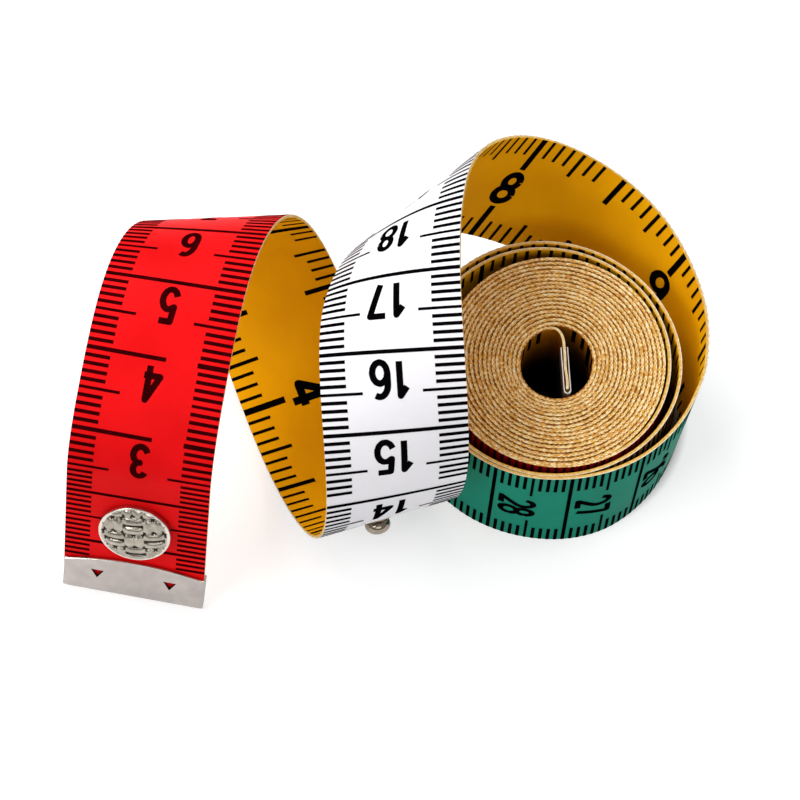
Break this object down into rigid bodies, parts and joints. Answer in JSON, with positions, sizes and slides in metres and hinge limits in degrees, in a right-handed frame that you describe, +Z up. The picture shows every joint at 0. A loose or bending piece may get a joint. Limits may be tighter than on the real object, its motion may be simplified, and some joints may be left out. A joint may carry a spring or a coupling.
{
  "type": "tape measure",
  "caption": "Soft measuring tape half unrolled: a flat roll on edge, with the free end curling twice over the table to a metal tip clip and a press snap.",
  "frame": {"origin": "middle of the outline on the table, under the curl", "axes": "+Z up along the roll's axis, +X from the free tip to the roll, -Y towards the side that the tip hangs on"},
  "size_m": [0.0784, 0.0596, 0.04],
  "materials": {
    "tape_edge": "cut edges of the coated tape, cream core between coloured faces",
    "tape_green": "smooth green coated face with black printing, yellow on the back",
    "tape_white": "smooth white coated face with black printing",
    "tape_back": "smooth yellow coated back with black inch printing",
    "tape_red": "smooth red coated face with black printing",
    "clip_metal": "matte nickel sheet",
    "snap_metal": "nickel plate"
  },
  "bodies": {
    "roll": {"tight_roll": "tape_edge", "loose_turns": "tape_green", "tape_rise": "tape_green", "tape_inner_end": "tape_back", "inner_clip": "clip_metal"},
    "white_run": {"tape_white": "tape_white", "snap_stud": "snap_metal", "stud_eyelet": "snap_metal"},
    "yellow_run": {"tape_yellow": "tape_back"},
    "red_run": {"tape_red": "tape_red", "tip_clip": "clip_metal", "snap_cap": "snap_metal", "snap_rivet": "snap_metal", "snap_socket": "snap_metal", "socket_wire_left": "snap_metal", "socket_wire_right": "snap_metal"}
  },
  "joints": [
    {"name": "bend_over_roll", "type": "hinge", "parent": "roll", "child": "white_run", "pos_m": [-0.00223, 0.0026, 0.03632], "axis": [0.7052, 0.6369, 0.3115], "range_deg": [-8, 8]},
    {"name": "bend_on_table", "type": "hinge", "parent": "white_run", "child": "yellow_run", "pos_m": [-0.00642, -0.00637, 0.00084], "axis": [0.9562, 0.2926, 0.0019], "range_deg": [-8, 6]},
    {"name": "bend_near_tip", "type": "hinge", "parent": "yellow_run", "child": "red_run", "pos_m": [-0.02857, -0.00163, 0.03534], "axis": [0.9849, 0.0693, 0.1587], "range_deg": [-20, 5]}
  ]
}
